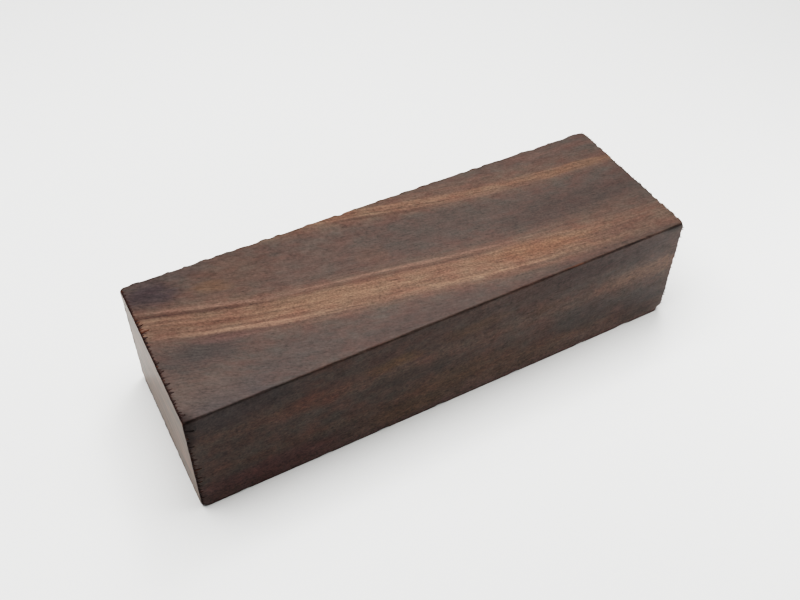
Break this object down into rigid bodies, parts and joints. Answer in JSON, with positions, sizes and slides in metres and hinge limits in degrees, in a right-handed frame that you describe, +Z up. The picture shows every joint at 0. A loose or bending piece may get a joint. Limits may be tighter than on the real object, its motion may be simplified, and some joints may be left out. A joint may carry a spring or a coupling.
{
  "type": "ironwood block",
  "caption": "Solid rectangular block of desert ironwood heartwood, dark brown with orange-tan grain bands, sawn flat on all sides, with a smooth sealed end and worn arrises.",
  "frame": {"origin": "under the middle of the block, on the surface that it rests on", "axes": "+X along the length and the grain, from the smooth sealed end to the rough end; +Y to the back; +Z up"},
  "size_m": [0.1524, 0.051, 0.0366],
  "materials": {
    "ironwood": "satin"
  },
  "bodies": {
    "root": {"ironwood_block": "ironwood"}
  },
  "joints": []
}
